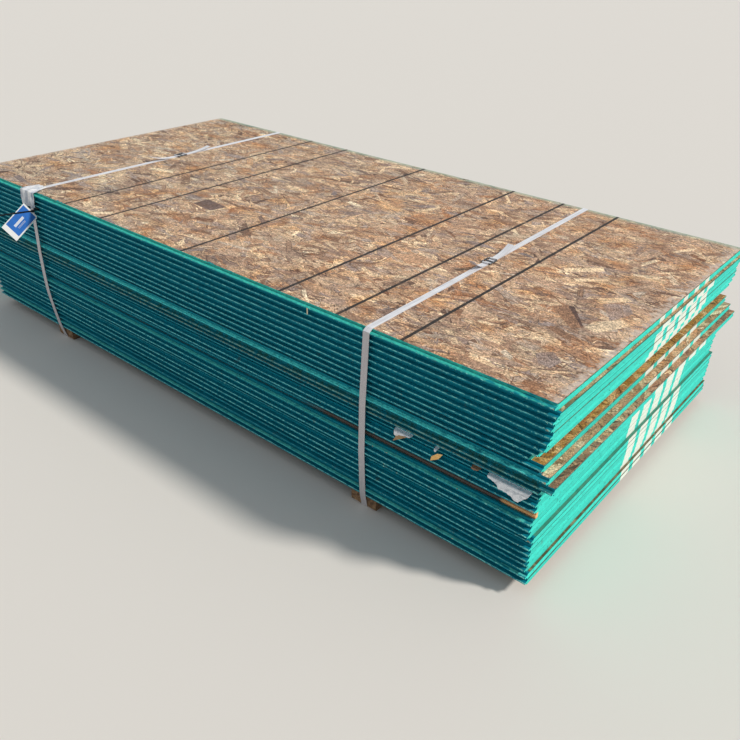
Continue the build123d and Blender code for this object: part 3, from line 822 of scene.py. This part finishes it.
class LayFlakes(bpy.types.Operator):
    """Lays flakes on the top face and on the ledges that the shifted layers leave open"""

    bl_idname = "panel_stack.lay_flakes"
    bl_label = "Lay the flakes"

    def execute(self, context):
        settings = context.scene.flakes
        top = (TOP_LOW.x + RIM, TOP_HIGH.x - RIM, FRONT_Y + RIM, TOP_HIGH.y - RIM, TOP_HIGH.z)
        marked = [(kind, outline) for kind, outlines in MARKED_FLAKES.items() for outline in outlines]
        mesh = flake_mesh(
            "top_flakes", [top], settings.density, settings.seed, slivers=SLIVER_DENSITY, marked=marked
        )
        weathered = flake_material("Weathered aspen strands", STRAND_STOPS, True)
        place_piece("top_flakes", mesh, weathered)
        for order, (name, layers, finish, stops, tones) in enumerate(LEDGE_FLAKES, 1):
            strips = [ledge_strip(layer) for layer in layers]
            mesh = flake_mesh(name, strips, LEDGE_DENSITY, settings.seed + order, tones)
            place_piece(name, mesh, flake_material(finish, stops, False))
        return {"FINISHED"}


class FinishBearers(bpy.types.Operator):
    """Gives the two bearers their sawn timber"""

    bl_idname = "panel_stack.finish_bearers"
    bl_label = "Finish the bearers"

    def execute(self, context):
        timber = timber_material()
        dress("bearer_near", timber)
        dress("bearer_far", timber)
        return {"FINISHED"}


class FinishStraps(bpy.types.Operator):
    """Gives the straps their cords and the buckles their wire"""

    bl_idname = "panel_stack.finish_straps"
    bl_label = "Finish the straps and buckles"

    def execute(self, context):
        strap = strap_material()
        wire = wire_material()
        for end in ("near", "far"):
            dress(f"strap_{end}", strap)
            dress(f"buckle_{end}", wire)
        return {"FINISHED"}


def add_grid(name, columns, rows, put, thickness):
    """A sheet that starts as a grid, has its points put in place by their shares, and gets its thickness."""
    bpy.ops.object.select_all(action="DESELECT")
    bpy.ops.mesh.primitive_grid_add(x_subdivisions=columns, y_subdivisions=rows, size=1)
    piece = bpy.context.object
    piece.name = name
    piece.data.name = name
    for vertex in piece.data.vertices:
        vertex.co = put(vertex.co.x + 0.5, vertex.co.y + 0.5)
    shell = piece.modifiers.new("thickness", "SOLIDIFY")
    shell.thickness = thickness
    bpy.ops.object.modifier_apply(modifier=shell.name)
    bpy.ops.object.shade_smooth()
    return piece


def between(stops, value):
    """A value read from (place, value) stops by straight lines."""
    for (x0, y0), (x1, y1) in zip(stops, stops[1:]):
        if value <= x1:
            return y0 + (y1 - y0) * max(0.0, value - x0) / (x1 - x0)
    return stops[-1][1]


# The film's two sides: at which share of its run, and how far in from the pad's own sides, in millimetres,
# and where its right side starts, from the pad's left
FILM_LEFT = ((0.0, 16), (0.3, 2), (0.45, 1), (0.7, 4), (1.0, 14))
FILM_RIGHT = ((0.3, 12), (0.45, 0), (0.7, 3), (1.0, 6))
FILM_FIRST_WIDTH = 64


class WrapEdgePad(bpy.types.Operator):
    """Folds the plastic sheet over the edge under the tag"""

    bl_idname = "panel_stack.wrap_edge_pad"
    bl_label = "Wrap the edge pad"

    def execute(self, context):
        low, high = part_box("edge_pad")
        top_run = high.y - low.y
        drop = high.z - low.z
        left = [(share, low.x + inset * MM) for share, inset in FILM_LEFT]
        right = [(share, high.x - inset * MM) for share, inset in FILM_RIGHT]
        right.insert(0, (0.0, low.x + FILM_FIRST_WIDTH * MM))

        def put(u, v):
            reach = v * (top_run + drop)
            x_left, x_right = between(left, v), between(right, v)
            x = x_left + (x_right - x_left) * u
            # Two gathers across the film, deeper towards its lower end, with creases and wrinkles on them
            gather = 2.2 * u + 0.35 * math.sin(5 * v) + 0.5 * v
            fold = (0.5 + 0.5 * math.cos(2 * math.pi * gather)) ** 1.6
            crease = noise.noise(Vector((x * 55, v * 9, 3.1)))
            fine = noise.noise(Vector((x * 160, v * 26, 8.7)))
            lift = (0.6 + 6.5 * fold * min(1.0, 0.25 + 1.6 * v) + 1.2 * (crease + 1) + 0.3 * (fine + 1)) * MM
            turn = min(max((reach - top_run + 9 * MM) / (14 * MM), 0.0), 1.0) * math.pi / 2
            y = max(high.y - reach, low.y + 1.2 * MM)
            z = high.z - 1.2 * MM - max(0.0, reach - top_run)
            ragged = 7 * MM * (noise.noise(Vector((u * 4.5, 0.3, 0.9))) + 0.3) if v > 0.9 else 0.0
            point = Vector((x, y, z + max(ragged, 0.0) * (v - 0.9) * 10))
            return point + Vector((0, -math.sin(turn), math.cos(turn))) * lift

        pad = add_grid("edge_film", 70, 90, put, 0.3 * MM)
        pad.data.materials.append(film_material())
        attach(pad, "root")
        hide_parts("edge_pad")
        return {"FINISHED"}


# The paper's way over the tongue below it, as how far out and how far down, in millimetres
PAPER_WAY = (
    (-45, 0), (0, 0), (0.8, 0.9), (1.2, 4.6), (6, 5.4), (11.4, 5.8), (12.6, 8), (13.2, 16), (13.8, 26),
    (14.6, 60),
)
# Its torn edge, as how far along the stack and how far down it hangs
PAPER_TEAR = (
    (-409, 1), (-405, 17), (-398, 19), (-390, 12), (-374, 12), (-358, 8), (-352, 0.6),
    (-288, 0.6), (-284, 10), (-279, 12), (-274, 0.6), (-182, 0.6), (-177, 8), (-169, 9),
    (-158, 6), (-154, 0.6), (-138, 1), (-131, 12), (-118, 13), (-108, 16), (-100, 27),
    (-88, 24), (-77, 27), (-67, 31), (-58, 37), (-46, 36), (-34, 22), (-24, 12),
    (-22, 4),
)


def lengths_along(way):
    """How long a way is up to each of its points."""
    totals = [0.0]
    for a, b in zip(way, way[1:]):
        totals.append(totals[-1] + math.dist(a, b))
    return totals


class HangTornPaper(bpy.types.Operator):
    """Hangs the torn sheet of paper from between its two layers"""

    bl_idname = "panel_stack.hang_torn_paper"
    bl_label = "Hang the torn paper"

    def execute(self, context):
        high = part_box("torn_paper")[1]
        end_x = high.x + PAPER_SHIFT
        edge_y = high.y + PAPER_WAY[0][0] * MM
        level = high.z - 0.2 * MM
        totals = lengths_along(PAPER_WAY)
        outs = [(total, point[0]) for total, point in zip(totals, PAPER_WAY)]
        downs = [(total, point[1]) for total, point in zip(totals, PAPER_WAY)]
        reaches = [(point[1], total) for total, point in zip(totals, PAPER_WAY)][1:]

        def put(u, v):
            along = PAPER_TEAR[0][0] + (PAPER_TEAR[-1][0] - PAPER_TEAR[0][0]) * u
            hang = between(PAPER_TEAR, along) + 1.4 * noise.noise(Vector((along * 0.21, 0.4, 0)))
            reach = between(reaches, max(hang, 0.4))
            done = v * reach
            out, down = between(outs, done), between(downs, done)
            # The paper is held where it lies on the tongue, and crumples and curls where it hangs free
            loose = min(1.0, max(0.0, down - 5) / 14)
            crumple = noise.noise(Vector((along / 19, down / 15, 2.2)))
            crumple += 0.5 * noise.noise(Vector((along / 7, down / 8, 5)))
            lifted = max(0.0, noise.noise(Vector((along / 24, 0, 9))) + 0.15)
            curl = loose * max(0.0, done / reach - 0.7) * 4 * lifted
            out += max(0.0, crumple + 0.5) * 2.6 * loose + 5 * curl
            return Vector((end_x + (along + curl) * MM, edge_y - out * MM, level - (down - 3 * curl) * MM))

        paper = add_grid("paper_scrap", 260, 60, put, 0.15 * MM)
        paper.data.materials.append(paper_material())
        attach(paper, "root")
        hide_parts("torn_paper")
        return {"FINISHED"}


# How many splinters stand on each tongue, and the four faces of one
FRAYS_PER_TONGUE = 90
FRAY_FACES = ((0, 2, 1), (0, 1, 3), (1, 2, 3), (0, 3, 2))


class AddFrays(bpy.types.Operator):
    """Raises splinters and crumbs of sealer along the tongues, most of them near the +X end"""

    bl_idname = "panel_stack.add_frays"
    bl_label = "Add the frays"

    def execute(self, context):
        rng = random.Random(context.scene.flakes.seed + 5)
        verts, faces = [], []
        for name in PANELS:
            if name == PANELS[BROKEN_LAYER - 1]:
                continue
            low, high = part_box(name)
            level = low.z + TONGUE_CENTRE
            for _ in range(FRAYS_PER_TONGUE):
                reach = rng.uniform(0, 1) ** 3
                x = high.x - 4 * MM - reach * (high.x - low.x - 8 * MM)
                length = rng.triangular(2, 14, 4) * MM
                wide = rng.triangular(0.5, 2.2, 0.9) * MM
                out = rng.triangular(0.3, 2.6, 0.7) * MM
                lean = rng.uniform(-1, 1) * wide
                z = level + rng.uniform(-0.4, 2.2) * MM
                y = low.y + 0.25 * MM
                x = min(x, high.x - length - 1 * MM)
                base = len(verts)
                verts += [
                    (x, y, z - wide / 2), (x, y, z + wide / 2), (x + length * 0.5, y, z + lean + wide / 2),
                    (x + length * rng.uniform(0.6, 1), y - out, z + lean),
                ]
                faces += [tuple(base + i for i in face) for face in FRAY_FACES]
        mesh = bpy.data.meshes.new("tongue_frays")
        mesh.from_pydata(verts, [], faces)
        mesh.update()
        place_piece("tongue_frays", mesh, fray_material(context.scene.edge_finish))
        return {"FINISHED"}


def fray_material(settings):
    """Splinters lifted by the tongue cutter, some sealed over and some showing pale wood."""
    material, add = new_material("Cut aspen splinters, sealed")
    place = add("TexCoord")["Object"]
    # Spots 14 mm wide, where the sealer is thin or gone
    spots = add("TexNoise", {"Vector": place, "Scale": 70.0, "Detail": 4.0})[0]
    bare = add("MapRange", (spots, 0.6, 0.66))[0]
    thin = add("MapRange", (spots, 0.3, 0.6, 0.5, 1.0))[0]
    # The sealed splinters take the tongues' painted highlight colour
    paint = add("VectorMath", {0: settings.highlight_paint, "Scale": thin}, operation="SCALE")[0]
    colour = add("Mix", {0: bare, 6: paint, 7: hex_colour("c2ad82")}, data_type="RGBA")[2]
    finish_material(add, (spots, 0.4, 0.4 * MM), Base_Color=colour, Roughness=0.75)
    return material


class FinishTrim(bpy.types.Operator):
    """Gives the tag, its tie and the loose flakes their finishes"""

    bl_idname = "panel_stack.finish_trim"
    bl_label = "Finish the trim"

    def execute(self, context):
        dress("tag", tag_material(context.scene.trim))
        dress("tag_tie", nylon_material())
        for tint, stops in (
            ("brown", ((0.3, "8a6a45"), (0.7, "c8a87c"))),
            ("orange", ((0.3, "f2b256"), (0.7, "ffd893"))),
            # The orange splinter is painted brighter than its wood, a painted highlight of sunlight on it
            ("pale", ((0.3, "c9b58c"), (0.7, "efe2c2"))),
        ):
            dress(f"splinter_{tint}", splinter_material(f"Torn {tint} aspen", stops))
        return {"FINISHED"}


class SetStage(bpy.types.Operator):
    """Sets the floor, the soft light and the camera"""

    bl_idname = "panel_stack.set_stage"
    bl_label = "Set the stage"

    def execute(self, context):
        scene = context.scene
        settings = scene.stage
        bpy.ops.mesh.primitive_plane_add(size=FLOOR_SIZE)
        floor = context.object
        floor.name = "floor"
        material, add = new_material("Pale floor")
        finish_material(add, Base_Color=hex_colour("e2e0db"), Roughness=0.9)
        floor.data.materials.append(material)

        world = bpy.data.worlds.new("Studio")
        world.use_nodes = True
        world.node_tree.nodes.clear()
        add = partial(add_node, world.node_tree)
        sight = add("LightPath")
        seen = add("Math", (sight["Is Camera Ray"], sight["Is Glossy Ray"]), operation="MAXIMUM")[0]
        seen = add("Math", (seen, sight["Is Transmission Ray"]), operation="MAXIMUM")[0]
        strength = add("MapRange", {0: seen, 3: settings.ambient, 4: BACKDROP_STRENGTH})[0]
        light = add("Background", {"Color": hex_colour("eef3f8"), "Strength": strength})
        add("OutputWorld", {"Surface": light[0]})
        scene.world = world

        key = bpy.data.lights.new("key", "SUN")
        key.energy = settings.key_strength
        key.angle = math.radians(settings.key_spread)
        key.color = hex_colour("fff7ee")[:3]
        lamp = bpy.data.objects.new("key", key)
        lamp.location = LAMP_PLACE
        lamp.rotation_euler = (STACK_MIDDLE - lamp.location).to_track_quat("-Z", "Y").to_euler()
        scene.collection.objects.link(lamp)

        camera = bpy.data.cameras.new("camera")
        camera.lens = CAMERA_LENS
        camera.sensor_width = 36
        camera.clip_end = 100
        view = bpy.data.objects.new("camera", camera)
        view.location = STACK_MIDDLE + Vector(CAMERA_OFFSET)
        view.rotation_euler = [math.radians(angle) for angle in CAMERA_ANGLES]
        scene.collection.objects.link(view)
        scene.camera = view
        scene.view_settings.view_transform = "Standard"
        return {"FINISHED"}


class PanelStackSidebar(bpy.types.Panel):
    """Lists the steps that dress the stack"""

    bl_idname = "VIEW3D_PT_panel_stack"
    bl_label = "Panel Stack"
    bl_space_type = "VIEW_3D"
    bl_region_type = "UI"
    bl_category = "Panel Stack"

    def draw(self, context):
        for name in ("edge_finish", "flakes", "trim", "stage"):
            settings = getattr(context.scene, name)
            # The first two properties of a group are Blender's own
            for key in settings.bl_rna.properties.keys()[2:]:
                self.layout.prop(settings, key)
        for step in STEPS:
            self.layout.operator(step.bl_idname)


STEPS = (
    FinishPanels, LayFlakes, AddFrays, FinishBearers, FinishStraps, WrapEdgePad, HangTornPaper, FinishTrim,
    SetStage,
)
SETTINGS = {
    "edge_finish": EdgeFinishSettings,
    "flakes": FlakeSettings,
    "trim": TrimSettings,
    "stage": StageSettings,
}


def register():
    """Adds the steps, the sidebar and the settings to Blender."""
    for cls in (*SETTINGS.values(), *STEPS, PanelStackSidebar):
        bpy.utils.register_class(cls)
    for name, cls in SETTINGS.items():
        setattr(bpy.types.Scene, name, bpy.props.PointerProperty(type=cls))


def unregister():
    """Takes them all out again."""
    for name in SETTINGS:
        delattr(bpy.types.Scene, name)
    for cls in (PanelStackSidebar, *reversed(STEPS), *reversed(SETTINGS.values())):
        bpy.utils.unregister_class(cls)


def main():
    """Registers the steps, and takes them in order."""
    register()
    bpy.ops.panel_stack.finish_panels()
    bpy.ops.panel_stack.lay_flakes()
    bpy.ops.panel_stack.add_frays()
    bpy.ops.panel_stack.finish_bearers()
    bpy.ops.panel_stack.finish_straps()
    bpy.ops.panel_stack.wrap_edge_pad()
    bpy.ops.panel_stack.hang_torn_paper()
    bpy.ops.panel_stack.finish_trim()
    bpy.ops.panel_stack.set_stage()


if __name__ == "__main__":
    main()
